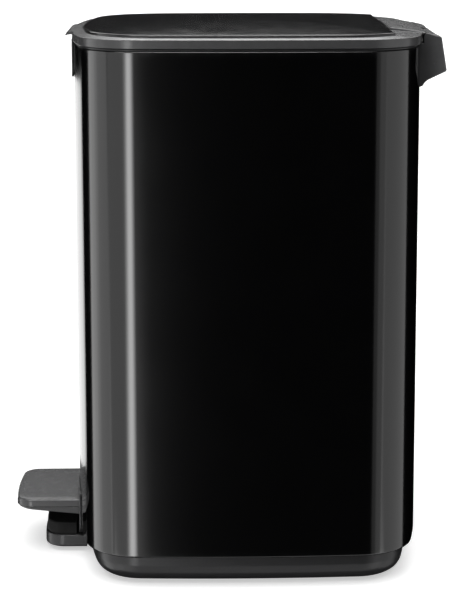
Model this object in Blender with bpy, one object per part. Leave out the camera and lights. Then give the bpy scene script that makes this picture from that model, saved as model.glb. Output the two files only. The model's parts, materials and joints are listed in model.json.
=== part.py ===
"""Pedal trash can: steel shell, hinged lid, inner bucket and the pedal linkage that lifts the lid.

+Z is up, -Y is the front (the pedal's side), and the object is symmetric in X.
The origin is on the floor under the middle of the object's bounding box.
All dimensions below are in millimetres. The meshes are built in metres.
"""

import math

import bmesh
import bpy
from mathutils import Vector

MM = 0.001

# Plan of the body: four flat arcs joined by four corner arcs.
CENTRE_Y = 16.0
HALF_LENGTH = 125.8
HALF_WIDTH = 115.0
CORNER_RADIUS = 42.0
END_ARC_RADIUS = 400.0
SIDE_ARC_RADIUS = 1450.0
FRONT_Y = CENTRE_Y - HALF_LENGTH
REAR_Y = CENTRE_Y + HALF_LENGTH
SIDE_STEPS, CORNER_STEPS, END_STEPS = 2, 6, 3

# Heights of the stack from the floor up.
SHELL_BOTTOM = 22.7
SHELL_TOP = 381.5
SHEET = 1.0
GAP = 0.3
RIM_TOP = SHELL_TOP + 1.7
RING_BOTTOM = SHELL_TOP + 2.0
RING_EDGE = RING_BOTTOM + 6.0
RING_CREST = RING_EDGE + 1.2
DECK_BOTTOM = RING_EDGE - 2.0
LEDGE_TOP = RING_CREST - 1.6
PANEL_EDGE = RING_CREST + 1.5
PANEL_CROWN = PANEL_EDGE + 5.3
RING_OVERHANG = 1.3
PANEL_CORNER_RADIUS = 48.0
PANEL_REAR_Y = 116.5

# Lid hinge and the housing that carries it.
HINGE_Y, HINGE_Z = 149.9, 384.5
KNUCKLE_RADIUS = 3.0
HINGE_PIN_RADIUS = 1.25
CENTRE_KNUCKLE_HALF = 9.7
LID_KNUCKLE_INNER, LID_KNUCKLE_OUTER = 10.1, 43.5
CHEEK_INNER = 43.9
BLOCK_FRONT_HALF = 40.0
BLOCK_TAPER = 0.45
HOUSING_WEB_TOP = HINGE_Z - 3.5
HOUSING_WEB_BOTTOM = HOUSING_WEB_TOP - 3.0
HOUSING_SCREW_X, HOUSING_SCREW_Z = 46.0, 365.5

# Pedal linkage.
PEDAL_TOP = 42.5
PEDAL_TIP_Y = -157.0
PEDAL_REAR_Y = -100.0
PEDAL_HALF_WIDTH = 39.0
PEDAL_CORNER_RADIUS = 12.0
PEDAL_CEILING = PEDAL_TOP - 3.0
LEVER_TOP = PEDAL_CEILING - GAP
LEVER_SHEET = 1.6
LEVER_HALF_WIDTH = 10.0
LEVER_FRONT_Y, LEVER_REAR_Y = -126.0, 138.3
AXLE_Y, AXLE_Z, AXLE_RADIUS = -4.0, 32.5, 3.0
ROD_Y, ROD_RADIUS = 134.0, 2.5
BEZEL_BOTTOM, BEZEL_TOP, BEZEL_HALF_WIDTH = 16.5, 51.5, 45.0
NOSE_TIP_Y, NOSE_HALF_WIDTH = -135.5, 33.0
NOSE_BOTTOM, NOSE_LEDGE, NOSE_TOP = 3.0, 12.5, 22.0

# Base and feet.
TRAY_BOTTOM = 1.5
TRAY_INSET = 6.5
FOOT_X, FOOT_FRONT_Y, FOOT_REAR_Y = 84.0, -68.0, 100.0

# Bucket.
BUCKET_BOTTOM = 56.0
BUCKET_WALL = 1.8


# ---------------------------------------------------------------- materials


def material(name, colour, roughness, metallic=0.0):
    found = bpy.data.materials.get(name)
    if found:
        return found
    made = bpy.data.materials.new(name)
    made.use_nodes = True
    shader = made.node_tree.nodes["Principled BSDF"]
    shader.inputs["Base Color"].default_value = (*colour, 1.0)
    shader.inputs["Roughness"].default_value = roughness
    shader.inputs["Metallic"].default_value = metallic
    made.diffuse_color = (*colour, 1.0)
    return made


def black_enamel():
    return material("black_enamel", (0.012, 0.012, 0.013), 0.22)


def satin_black():
    return material("satin_black", (0.028, 0.028, 0.029), 0.42)


def grey_plastic():
    return material("grey_plastic", (0.085, 0.085, 0.088), 0.48)


def dark_plastic():
    return material("dark_plastic", (0.045, 0.045, 0.047), 0.50)


def bucket_plastic():
    return material("bucket_plastic", (0.055, 0.056, 0.058), 0.45)


def rubber():
    return material("rubber", (0.02, 0.02, 0.02), 0.75)


def zinc_steel():
    return material("zinc_steel", (0.55, 0.56, 0.57), 0.35, 1.0)


# ---------------------------------------------------------------- mesh helpers


def finish(name, build, surface, pivot=(0.0, 0.0, 0.0), smooth_angle=32.0):
    """Turns a bmesh made in millimetres about the world origin into an object whose origin is at pivot."""
    bmesh.ops.recalc_face_normals(build, faces=build.faces)
    bmesh.ops.translate(build, verts=build.verts, vec=-Vector(pivot))
    bmesh.ops.scale(build, verts=build.verts, vec=(MM, MM, MM))
    mesh = bpy.data.meshes.new(name)
    build.to_mesh(mesh)
    build.free()
    mesh.materials.append(surface)
    mesh.shade_smooth()
    mesh.set_sharp_from_angle(angle=math.radians(smooth_angle))
    made = bpy.data.objects.new(name, mesh)
    made.location = Vector(pivot) * MM
    bpy.context.scene.collection.objects.link(made)
    return made


def boolean(target, operation, *others):
    """Joins or cuts target with helper objects, which stay out of renders."""
    for other in others:
        other.hide_render = True
        other.display_type = "WIRE"
        step = target.modifiers.new(other.name, "BOOLEAN")
        step.operation = operation
        step.object = other
    return target


def cut(target, *others):
    return boolean(target, "DIFFERENCE", *others)


def fuse(target, *others):
    return boolean(target, "UNION", *others)


def loft(name, loops, surface, ring=False, pivot=(0.0, 0.0, 0.0)):
    """Skins loops of equal point count. A ring also joins the last loop to the first; otherwise both ends are capped."""
    build = bmesh.new()
    rows = [[build.verts.new(point) for point in loop] for loop in loops]
    pairs = list(zip(rows, rows[1:]))
    if ring:
        pairs.append((rows[-1], rows[0]))
    for low, high in pairs:
        for i in range(len(low)):
            j = (i + 1) % len(low)
            build.faces.new((low[i], low[j], high[j], high[i]))
    if not ring:
        build.faces.new(rows[0])
        build.faces.new(rows[-1])
    return finish(name, build, surface, pivot)


def side_prism(name, profile, half_width, surface, pivot=(0.0, 0.0, 0.0)):
    """A solid symmetric in X from a (y, z) profile. half_width gives its X reach at each y."""
    build = bmesh.new()
    left = [build.verts.new((-half_width(y), y, z)) for y, z in profile]
    right = [build.verts.new((half_width(y), y, z)) for y, z in profile]
    for i in range(len(profile)):
        j = (i + 1) % len(profile)
        build.faces.new((left[i], left[j], right[j], right[i]))
    build.faces.new(left)
    build.faces.new(right)
    return finish(name, build, surface, pivot)


def box(name, low, high, surface, pivot=(0.0, 0.0, 0.0)):
    corners = [(low[0], low[1]), (high[0], low[1]), (high[0], high[1]), (low[0], high[1])]
    return loft(name, [[(x, y, z) for x, y in corners] for z in (low[2], high[2])], surface, pivot=pivot)


def circle(radius, steps):
    return [
        (radius * math.cos(turn), radius * math.sin(turn))
        for turn in (2.0 * math.pi * i / steps for i in range(steps))
    ]


def turned(name, profile, centre, axis, surface, steps=16, ring=False, pivot=(0.0, 0.0, 0.0)):
    """A solid of revolution: profile holds (distance along the axis, radius) pairs measured from centre."""
    place = {
        "X": lambda along, a, b: (along, a, b),
        "Y": lambda along, a, b: (a, along, b),
        "Z": lambda along, a, b: (a, b, along),
    }[axis]
    loops = [
        [Vector(centre) + Vector(place(along, a, b)) for a, b in circle(radius, steps)]
        for along, radius in profile
    ]
    return loft(name, loops, surface, ring=ring, pivot=pivot)


def rounded_corner(centre, radius, first, last, steps=5):
    """Points of an arc, with its two angles in degrees."""
    turns = (math.radians(first + (last - first) * i / steps) for i in range(steps + 1))
    return [(centre[0] + radius * math.cos(t), centre[1] + radius * math.sin(t)) for t in turns]


def rounded_rectangle(low, high, radius, steps=5):
    """Counter-clockwise outline between two corner points."""
    (x0, y0), (x1, y1) = low, high
    return (
        rounded_corner((x1 - radius, y0 + radius), radius, -90, 0, steps)
        + rounded_corner((x1 - radius, y1 - radius), radius, 0, 90, steps)
        + rounded_corner((x0 + radius, y1 - radius), radius, 90, 180, steps)
        + rounded_corner((x0 + radius, y0 + radius), radius, 180, 270, steps)
    )


# ---------------------------------------------------------------- body plan


def corner_centre(end_arc, side_arc, end_radius, side_radius, corner):
    """Centre of the circle that touches both flat arcs from inside."""
    reach_end, reach_side = end_radius - corner, side_radius - corner
    span = (side_arc - end_arc).length
    along = (reach_end**2 - reach_side**2 + span**2) / (2.0 * span)
    across = math.sqrt(reach_end**2 - along**2)
    direction = (side_arc - end_arc) / span
    normal = Vector((-direction.y, direction.x))
    found = [end_arc + direction * along + normal * side * across for side in (-1.0, 1.0)]
    return max(found, key=lambda point: point.x + point.y)


def plan(inset, rear=None, corner=None, rear_cut=None):
    """The body's plan, shrunk by inset at the front and sides and by rear at the rear. Points run counter-clockwise."""
    rear = inset if rear is None else rear
    corner = CORNER_RADIUS - inset if corner is None else corner
    half_length = HALF_LENGTH - (inset + rear) / 2.0
    middle = CENTRE_Y + (inset - rear) / 2.0
    end_radius, side_radius = END_ARC_RADIUS - inset, SIDE_ARC_RADIUS - inset
    end_arc = Vector((0.0, half_length - end_radius))
    side_arc = Vector((HALF_WIDTH - inset - side_radius, 0.0))
    centre = corner_centre(end_arc, side_arc, end_radius, side_radius, corner)
    low = math.atan2(centre.y - side_arc.y, centre.x - side_arc.x)
    high = math.atan2(centre.y - end_arc.y, centre.x - end_arc.x)
    quarter = []
    for origin, radius, first, last, steps in (
        (side_arc, side_radius, 0.0, low, SIDE_STEPS),
        (centre, corner, low, high, CORNER_STEPS),
        (end_arc, end_radius, high, math.pi / 2.0, END_STEPS),
    ):
        for i in range(steps):
            turn = first + (last - first) * i / steps
            quarter.append((origin.x + radius * math.cos(turn), origin.y + radius * math.sin(turn)))
    top = (0.0, half_length)
    first_half = quarter + [top] + [(-x, y) for x, y in reversed(quarter)]
    points = first_half + [(-x, -y) for x, y in first_half[1:-1]]
    points = [(x, y + middle) for x, y in points]
    return points if rear_cut is None else straighten_rear(points, rear_cut)


def straighten_rear(points, rear_cut):
    """Lays the points behind rear_cut on a straight line across, and keeps a sharp corner at each end of it."""
    trimmed = []
    for i, (x, y) in enumerate(points):
        before, after = points[i - 1], points[(i + 1) % len(points)]
        outside = next((near for near in (before, after) if near[1] <= rear_cut), None)
        if y > rear_cut and outside:
            share = (rear_cut - outside[1]) / (y - outside[1])
            x = outside[0] + (x - outside[0]) * share
        trimmed.append((x, min(y, rear_cut)))
    return trimmed


def at_height(points, z):
    return [(x, y, z) for x, y in points]


def plan_levels(levels, **options):
    """Loops from (inset, z) pairs, or from (inset, rear inset, z) triples."""
    return [at_height(plan(*level[:-1], **options), level[-1]) for level in levels]


def end_bow(x, inset=0.0):
    """How far the body's end wall lies behind its middle at x."""
    radius = END_ARC_RADIUS - inset
    return radius - math.sqrt(radius**2 - x**2)


def bowed_plate(name, half_width, low, high, insets, radii, surface):
    """Plate that follows the body's front wall between two insets. radii round its lower and upper corners."""
    low_radius, high_radius = radii
    flat = half_width - max(radii)
    bends = [flat + max(radii) * math.sin(math.radians(turn)) for turn in (22.5, 45.0, 67.5, 90.0)]
    right = [flat / 3.0, flat * 2.0 / 3.0, flat] + (bends if max(radii) else [])
    stations = [-x for x in reversed(right)] + [0.0] + right

    def rise(x, radius):
        over = abs(x) - (half_width - radius)
        return radius - math.sqrt(max(0.0, radius**2 - over**2)) if over > 0.0 else 0.0

    loops = []
    for x in stations:
        bottom, top = low + rise(x, low_radius), high - rise(x, high_radius)
        front, back = [FRONT_Y + inset + end_bow(x, inset) for inset in insets]
        loops.append([(x, front, bottom), (x, front, top), (x, back, top), (x, back, bottom)])
    return loft(name, loops, surface)


# ---------------------------------------------------------------- root pieces


def outer_shell():
    """Sheet-steel tube with both edges turned in."""
    levels = [
        (4.0, SHELL_BOTTOM),
        (1.2, SHELL_BOTTOM),
        (0.3, SHELL_BOTTOM + 0.4),
        (0.0, SHELL_BOTTOM + 1.4),
        (0.0, SHELL_TOP - 1.6),
        (0.4, SHELL_TOP - 0.5),
        (1.4, SHELL_TOP),
        (4.0, SHELL_TOP),
        (4.0, SHELL_TOP - SHEET),
        (1.8, SHELL_TOP - SHEET),
        (SHEET, SHELL_TOP - 2.0),
        (SHEET, SHELL_BOTTOM + 1.9),
        (1.7, SHELL_BOTTOM + SHEET),
        (4.0, SHELL_BOTTOM + SHEET),
    ]
    shell = loft("outer_shell", plan_levels(levels), black_enamel(), ring=True)
    holes = [
        turned(f"shell_screw_hole_{side}", [(-8.0, 1.8), (4.0, 1.8)],
               (x, REAR_Y - end_bow(x), HOUSING_SCREW_Z), "Y", zinc_steel(), steps=12)
        for side, x in (("left", -HOUSING_SCREW_X), ("right", HOUSING_SCREW_X))
    ]
    outline = rounded_rectangle((-43.5, 10.0), (43.5, BEZEL_TOP - 1.5), 7.0, steps=3)
    notch = loft("shell_pedal_notch", [[(x, y, z) for x, z in outline] for y in (FRONT_Y - 8, FRONT_Y + 14)],
                 black_enamel())
    return cut(shell, notch, *holes)


def base_tray():
    """Moulded tray that closes the shell's bottom edge and carries the lever's bearings."""
    flange_bottom = SHELL_BOTTOM + SHEET + GAP
    flange_top = flange_bottom + 2.0
    outside = [
        (TRAY_INSET + 12.0, TRAY_BOTTOM),
        (TRAY_INSET + 7.5, TRAY_BOTTOM + 0.9),
        (TRAY_INSET + 3.6, TRAY_BOTTOM + 3.6),
        (TRAY_INSET + 1.0, TRAY_BOTTOM + 7.8),
        (TRAY_INSET, TRAY_BOTTOM + 13.0),
        (TRAY_INSET, flange_bottom),
        (1.9, flange_bottom),
        (1.9, flange_top),
    ]
    inside = [
        (TRAY_INSET + 2.8, flange_top),
        (TRAY_INSET + 2.8, TRAY_BOTTOM + 13.0),
        (TRAY_INSET + 5.5, TRAY_BOTTOM + 6.5),
        (TRAY_INSET + 13.0, TRAY_BOTTOM + 2.8),
    ]
    tray = loft("base_tray", plan_levels(outside + inside), dark_plastic())
    posts = [
        box(f"bearing_post_{side}", (min(a, b), AXLE_Y - 10.0, TRAY_BOTTOM + 1.5),
            (max(a, b), AXLE_Y + 10.0, AXLE_Z - 0.15), dark_plastic())
        for side, a, b in (("left", -18.0, -10.8), ("right", 10.8, 18.0))
    ]
    fuse(tray, *posts)
    cut(tray, axle_seat("tray_axle_seat"), *bearing_screw_holes("tray"))
    reach = BEZEL_HALF_WIDTH - 1.2
    slot = box("tray_pedal_slot", (-reach, FRONT_Y - 6.0, BEZEL_BOTTOM - 0.8), (reach, FRONT_Y + 14.0, 40.0),
               dark_plastic())
    return cut(tray, slot)


def axle_seat(name):
    return turned(name, [(-22.0, AXLE_RADIUS + 0.1), (22.0, AXLE_RADIUS + 0.1)],
                  (0.0, AXLE_Y, AXLE_Z), "X", zinc_steel(), steps=24)


def bearing_places():
    """Name suffix, x and y of the four bearing cap screws."""
    return [
        (f"{side}_{end}", x, AXLE_Y + y)
        for side, x in (("left", -14.4), ("right", 14.4))
        for end, y in (("front", -7.0), ("rear", 7.0))
    ]


def bearing_screw_holes(prefix):
    return [
        turned(f"{prefix}_hole_{suffix}", [(AXLE_Z - 10.0, 1.5), (AXLE_Z + 10.0, 1.5)],
               (x, y, 0.0), "Z", zinc_steel(), steps=12)
        for suffix, x, y in bearing_places()
    ]


def bearing_caps():
    holes = bearing_screw_holes("cap")
    seat = axle_seat("cap_axle_seat")
    for side, a, b in (("left", -18.0, -10.8), ("right", 10.8, 18.0)):
        cap = box(f"bearing_cap_{side}", (a, AXLE_Y - 10.0, AXLE_Z + 0.15), (b, AXLE_Y + 10.0, AXLE_Z + 5.6),
                  dark_plastic())
        cut(cap, seat, *[hole for hole in holes if side in hole.name])


def screw(name, head, point, axis, sign, surface, length, head_radius=2.3, shank_radius=1.2):
    """Pan-head screw. head is the head's seat, and the shank runs from it along sign times the axis."""
    profile = [
        (-sign * 1.7, head_radius * 0.5),
        (-sign * 1.2, head_radius * 0.9),
        (0.0, head_radius),
        (0.0, shank_radius),
        (sign * (length - point), shank_radius),
        (sign * length, shank_radius * 0.4),
    ]
    return turned(name, profile, head, axis, surface, steps=10)


def bearing_screws():
    for suffix, x, y in bearing_places():
        screw(f"bearing_screw_{suffix}", (x, y, AXLE_Z + 5.9), 1.5, "Z", -1.0, zinc_steel(), 14.0)


def lever_axle():
    steps, end = 24, 20.6
    turned("lever_axle", [(-end, AXLE_RADIUS - 0.5), (-end + 0.5, AXLE_RADIUS), (end - 0.5, AXLE_RADIUS),
                          (end, AXLE_RADIUS - 0.5)], (0.0, AXLE_Y, AXLE_Z), "X", zinc_steel(), steps=steps)
    for side, x in (("left", -19.0), ("right", 19.0)):
        inner, outer = AXLE_RADIUS + 0.15, AXLE_RADIUS + 1.8
        turned(f"axle_clip_{side}", [(x - 0.5, inner), (x - 0.5, outer), (x + 0.5, outer), (x + 0.5, inner)],
               (0.0, AXLE_Y, AXLE_Z), "X", zinc_steel(), steps=steps, ring=True)


def pedal_bezel():
    """Frame round the pedal's slot: a flange in front of the shell and a sleeve through it."""
    bezel = bowed_plate("pedal_bezel", BEZEL_HALF_WIDTH, BEZEL_BOTTOM, BEZEL_TOP, (-1.4, -GAP), (8.0, 8.0),
                        dark_plastic())
    sleeve = bowed_plate("bezel_sleeve", BEZEL_HALF_WIDTH - 1.9, BEZEL_BOTTOM + 0.1, BEZEL_TOP - 1.9, (-1.0, 3.0),
                         (6.6, 6.6), dark_plastic())
    outline = rounded_rectangle((4.0 - BEZEL_HALF_WIDTH, BEZEL_BOTTOM + 1.6),
                                (BEZEL_HALF_WIDTH - 4.0, BEZEL_TOP - 3.5), 5.0, steps=3)
    opening = loft("bezel_opening", [[(x, FRONT_Y + y, z) for x, z in outline] for y in (-6.0, 12.0)],
                   dark_plastic())
    return cut(fuse(bezel, sleeve), opening)


def nose_outline(shrink, rear_y):
    """Plan of the block under the pedal: square at the rear, round at the front."""
    half, tip, radius = NOSE_HALF_WIDTH - shrink, NOSE_TIP_Y + shrink, 15.0 - shrink
    return (
        [(half, rear_y), (-half, rear_y)]
        + rounded_corner((-half + radius, tip + radius), radius, 180, 270)
        + [(0.0, tip - 0.6)]
        + rounded_corner((half - radius, tip + radius), radius, 270, 360)
    )


def base_nose():
    """Block that the base sends forward under the pedal, and the black stop on top of it."""
    rear = FRONT_Y + TRAY_INSET - 0.8
    shrinks = [(2.6, NOSE_BOTTOM), (1.0, NOSE_BOTTOM + 0.8), (0.0, NOSE_BOTTOM + 3.0), (0.0, NOSE_LEDGE - 0.8),
               (0.8, NOSE_LEDGE)]
    loft("base_nose", [at_height(nose_outline(s, rear), z) for s, z in shrinks], dark_plastic())
    front_face = FRONT_Y - 2.0
    shrinks = [(1.4, NOSE_LEDGE + GAP), (1.4, NOSE_TOP - 1.2), (2.4, NOSE_TOP)]
    loft("pedal_stop", [at_height(nose_outline(s, front_face), z) for s, z in shrinks], rubber())


def rubber_feet():
    for side, x in (("left", -FOOT_X), ("right", FOOT_X)):
        for end, y in (("front", FOOT_FRONT_Y), ("rear", FOOT_REAR_Y)):
            outline = rounded_rectangle((x - 5.0, y - 8.0), (x + 5.0, y + 8.0), 4.0, steps=3)
            loft(f"foot_{end}_{side}", [at_height(outline, 0.0), at_height(outline, TRAY_BOTTOM - GAP)], rubber())


def body_rim():
    """Collar on the shell's top edge that the bucket hangs in, with a tongue over the shell's front."""
    bottom, flange = SHELL_TOP - 9.0, SHELL_TOP + GAP
    levels = [
        (0.6, 0.6, flange),
        (4.5, 4.5, flange),
        (4.5, 4.5, bottom),
        (6.4, 6.4, bottom),
        (6.4, 6.4, flange - 0.4),
        (8.3, 12.6, flange),
        (8.3, 12.6, RIM_TOP),
        (0.6, 0.6, RIM_TOP),
    ]
    rim = loft("body_rim", plan_levels(levels), dark_plastic(), ring=True)
    hole = turned("rim_rod_hole", [(bottom - 5.0, ROD_RADIUS + 0.4), (RIM_TOP + 5.0, ROD_RADIUS + 0.4)],
                  (0.0, ROD_Y, 0.0), "Z", zinc_steel(), steps=16)
    return cut(fuse(rim, rim_tongue()), hole)


def rim_tongue(half_width=30.0, low=355.5, proud=1.7):
    """Curved plate in front of the shell, joined to the rim above the shell's edge."""
    top = RIM_TOP - 0.3
    plate = bowed_plate("rim_tongue", half_width, low, top, (-proud, -GAP), (8.0, 0.0), dark_plastic())
    bridge = bowed_plate("rim_tongue_bridge", half_width - 0.5, SHELL_TOP + GAP + 0.1, top - 0.1,
                         (0.5 - proud, 2.0), (0.0, 0.0), dark_plastic())
    return fuse(plate, bridge)


def block_half_width(y):
    """Half width of the hinge block, which widens to the rear."""
    return BLOCK_FRONT_HALF + (y - PANEL_REAR_Y) * BLOCK_TAPER


def hinge_housing():
    """Carrying grip behind the shell. Its two cheeks and its centre knuckle hold the hinge pin."""
    profile = [
        (136.0, HINGE_Z - 35.0),
        (140.8, HINGE_Z - 33.6),
        (142.0, HINGE_Z - 31.2),
        (144.0, HINGE_Z - 29.2),
        (156.4, HINGE_Z - 22.4),
        (157.0, HINGE_Z - 21.4),
        (153.4, HINGE_Z + 1.4),
        (152.6, HINGE_Z + 2.4),
        (149.7, HINGE_Z + 3.3),
        (142.8, HINGE_Z + 5.0),
        (142.8, SHELL_TOP + 0.2),
        (136.0, SHELL_TOP + 0.2),
    ]
    housing = side_prism("hinge_housing", profile, block_half_width, grey_plastic())
    cavity_profile = [
        (134.0, 330.0),
        (154.0, 330.0),
        (154.0, HINGE_Z - 21.0),
        (151.2, HOUSING_WEB_BOTTOM),
        (134.0, HOUSING_WEB_BOTTOM),
    ]
    cavity = side_prism("grip_cavity", cavity_profile, lambda y: 47.0, grey_plastic())
    clearing = box("knuckle_clearing", (-CHEEK_INNER, 130.0, HOUSING_WEB_TOP), (CHEEK_INNER, 165.0, 400.0),
                   grey_plastic())
    body_cut = loft("housing_shell_cut", [at_height(plan(-GAP), z) for z in (330.0, 388.5)], grey_plastic())
    cut(housing, cavity, clearing)
    centre = CENTRE_KNUCKLE_HALF
    knuckle = turned("centre_knuckle", [(-centre, KNUCKLE_RADIUS), (centre, KNUCKLE_RADIUS)],
                     (0.0, HINGE_Y, HINGE_Z), "X", grey_plastic())
    support = box("knuckle_support", (-centre + 0.05, HINGE_Y - 2.6, HOUSING_WEB_TOP - 1.0),
                  (centre - 0.05, HINGE_Y + 2.6, HINGE_Z), grey_plastic())
    bosses = []
    holes = [pin_hole("housing_pin_hole")]
    for side, x in (("left", -HOUSING_SCREW_X), ("right", HOUSING_SCREW_X)):
        bosses.append(turned(f"screw_boss_{side}", [(-8.0, 3.6), (13.5, 3.6)],
                             (x, 141.0, HOUSING_SCREW_Z), "Y", grey_plastic(), steps=12))
        holes.append(turned(f"boss_hole_{side}", [(-9.0, 1.5), (10.0, 1.5)],
                            (x, 141.0, HOUSING_SCREW_Z), "Y", grey_plastic(), steps=12))
    fuse(housing, knuckle, support, *bosses)
    return cut(housing, body_cut, *holes)


def pin_hole(name):
    radius = HINGE_PIN_RADIUS + 0.1
    return turned(name, [(-53.0, radius), (53.0, radius)], (0.0, HINGE_Y, HINGE_Z), "X", zinc_steel(), steps=16)


def hinge_pin():
    turned("hinge_pin", [(-52.5, HINGE_PIN_RADIUS), (52.5, HINGE_PIN_RADIUS)],
           (0.0, HINGE_Y, HINGE_Z), "X", zinc_steel(), steps=16)


def housing_screws():
    for side, x in (("left", -HOUSING_SCREW_X), ("right", HOUSING_SCREW_X)):
        seat = REAR_Y - end_bow(abs(x) + 2.5) - SHEET - GAP
        screw(f"housing_screw_{side}", (x, seat, HOUSING_SCREW_Z), 1.5, "Y", 1.0, zinc_steel(), 11.0)


def inner_bucket():
    """Lift-out bucket that hangs by its flange in the body rim."""
    flange_low = RIM_TOP + GAP
    flange_top = flange_low + 1.4
    wall = BUCKET_WALL
    outside = [
        (32.0, 36.0, BUCKET_BOTTOM),
        (24.0, 28.0, BUCKET_BOTTOM + 1.6),
        (19.0, 23.0, BUCKET_BOTTOM + 7.0),
        (17.5, 21.0, BUCKET_BOTTOM + 14.0),
        (9.5, 13.4, flange_low),
        (4.0, 11.7, flange_low),
        (4.0, 11.7, flange_top),
    ]
    inside = [
        (9.5 + wall, 13.4 + wall, flange_top),
        (17.5 + wall, 21.0 + wall, BUCKET_BOTTOM + 14.0),
        (20.5 + wall, 24.5 + wall, BUCKET_BOTTOM + 8.0),
        (32.0, 36.0, BUCKET_BOTTOM + 2.4),
    ]
    return loft("inner_bucket", plan_levels(outside + inside), bucket_plastic())


def rod_guide():
    """Eye on the shell's rear wall that keeps the push rod upright."""
    guide = box("rod_guide", (-12.0, ROD_Y - 4.4, 190.0), (12.0, REAR_Y - SHEET - 0.6, 204.0), dark_plastic())
    hole = turned("guide_hole", [(180.0, ROD_RADIUS + 0.4), (214.0, ROD_RADIUS + 0.4)],
                  (0.0, ROD_Y, 0.0), "Z", zinc_steel(), steps=16)
    return cut(guide, hole)


def lid_buffers():
    """Rubber blocks on the body rim that the closed lid rests on."""
    for side, sign in (("left", -1.0), ("right", 1.0)):
        for end, offset in (("front", -55.0), ("rear", 55.0)):
            x = sign * (HALF_WIDTH - 2.3 - offset**2 / (2.0 * SIDE_ARC_RADIUS))
            y = CENTRE_Y + offset
            box(f"lid_buffer_{end}_{side}", (x - 0.9, y - 5.0, RIM_TOP + GAP), (x + 0.9, y + 5.0, DECK_BOTTOM - 0.3),
                rubber())


# ---------------------------------------------------------------- lid


LID_PIVOT = (0.0, HINGE_Y, HINGE_Z)


def lid_frame():
    """Ring round the lid panel, with the finger lip in front and the hinge leaf behind."""
    over = -RING_OVERHANG
    inner, ledge = 6.5, 14.0
    rear_cut = PANEL_REAR_Y + 0.8
    outer_loops = plan_levels([(over + 2.0, DECK_BOTTOM), (over + 2.0, RING_BOTTOM), (over + 0.3, RING_BOTTOM),
                               (over, RING_BOTTOM + 0.4), (over, RING_EDGE - 0.3), (over + 0.3, RING_EDGE)])
    crest = plan(inner, corner=PANEL_CORNER_RADIUS + 1.0, rear_cut=rear_cut)
    hem = plan(ledge, corner=PANEL_CORNER_RADIUS - 6.0, rear_cut=rear_cut - 7.0)
    inner_loops = [at_height(crest, RING_CREST), at_height(crest, LEDGE_TOP), at_height(hem, LEDGE_TOP),
                   at_height(hem, DECK_BOTTOM)]
    ring = loft("lid_frame", outer_loops + inner_loops, grey_plastic(), ring=True, pivot=LID_PIVOT)
    fuse(ring, finger_lip(), *hinge_leaf())
    clearance = box("leaf_centre_notch", (-LID_KNUCKLE_INNER, HINGE_Y - 5.0, 370.0),
                    (LID_KNUCKLE_INNER, HINGE_Y + 10.0, 400.0), grey_plastic())
    return cut(ring, clearance, pin_hole("lid_pin_hole"))


def finger_lip(half_width=35.0):
    """Blade that overhangs the front of the ring."""
    top = RING_EDGE
    profile = [
        (FRONT_Y + 3.0, top - 2.6),
        (FRONT_Y - 1.0, top - 2.4),
        (FRONT_Y - 3.4, top - 2.7),
        (FRONT_Y - 4.6, top - 3.4),
        (FRONT_Y - 4.9, top - 2.7),
        (FRONT_Y - 4.2, top - 1.3),
        (FRONT_Y - 2.6, top - 0.4),
        (FRONT_Y - 0.4, top - 0.05),
        (FRONT_Y + 3.0, top + 0.15),
    ]

    def reach(y):
        return half_width - 0.5 * max(0.0, FRONT_Y - y)

    return side_prism("finger_lip", profile, reach, grey_plastic())


def hinge_leaf():
    """Raised wedge behind the panel, and the tongue that carries the lid's knuckles."""
    wedge_profile = [
        (PANEL_REAR_Y + 0.8, DECK_BOTTOM + 0.2),
        (141.2, DECK_BOTTOM + 0.2),
        (141.2, HINGE_Z + 5.15),
        (136.3, HINGE_Z + 6.2),
        (PANEL_REAR_Y + 2.0, HINGE_Z + 7.9),
        (PANEL_REAR_Y + 0.8, HINGE_Z + 7.2),
    ]
    wedge = side_prism("leaf_wedge", wedge_profile, block_half_width, grey_plastic())
    tongue_profile = [
        (138.0, DECK_BOTTOM + 0.25),
        (144.0, DECK_BOTTOM - 0.6),
        (HINGE_Y - 2.0, HINGE_Z + 0.6),
        (HINGE_Y, HINGE_Z + 0.6),
        (HINGE_Y, HINGE_Z + KNUCKLE_RADIUS - 0.02),
        (141.2, HINGE_Z + 5.1),
        (138.0, HINGE_Z + 5.6),
    ]
    tongue = side_prism("leaf_tongue", tongue_profile, lambda y: LID_KNUCKLE_OUTER - 0.05, grey_plastic())
    barrel = turned("leaf_barrel", [(-LID_KNUCKLE_OUTER, KNUCKLE_RADIUS), (LID_KNUCKLE_OUTER, KNUCKLE_RADIUS)],
                    (0.0, HINGE_Y, HINGE_Z), "X", grey_plastic())
    return wedge, tongue, barrel


def lid_panel():
    """Domed sheet with a turned-down edge, straight at the rear."""
    edge = plan(7.4, corner=PANEL_CORNER_RADIUS, rear_cut=PANEL_REAR_Y)
    shares = [1.0, 0.985, 0.93, 0.8, 0.6, 0.35]

    def scaled(share, z):
        return [(x * share, CENTRE_Y + (y - CENTRE_Y) * share, z) for x, y in edge]

    def dome(share):
        return PANEL_EDGE + (PANEL_CROWN - PANEL_EDGE) * (1.0 - share**2)

    loops = [scaled(share, dome(share)) for share in reversed(shares)]
    loops += [scaled(1.0, LEDGE_TOP + GAP), scaled(0.985, LEDGE_TOP + GAP), scaled(0.985, PANEL_EDGE - 1.2)]
    loops += [scaled(share, dome(share) - 1.0) for share in shares[2:]]
    return loft("lid_panel", loops, satin_black(), pivot=LID_PIVOT)


def lid_liner():
    """Inner lid below the panel, with a rib that reaches into the bucket's mouth."""
    top = DECK_BOTTOM - GAP
    low, rib_low = top - 1.6, top - 6.0
    levels = [(40.0, low), (18.0, low), (18.0, rib_low), (16.4, rib_low), (16.0, low), (16.0, top), (40.0, top)]

    def outline(inset):
        return plan(inset, corner=42.0 - inset * 0.5, rear_cut=PANEL_REAR_Y + 14.0 - inset)

    return loft("lid_liner", [at_height(outline(inset), z) for inset, z in levels], bucket_plastic(),
                pivot=LID_PIVOT)


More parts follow.
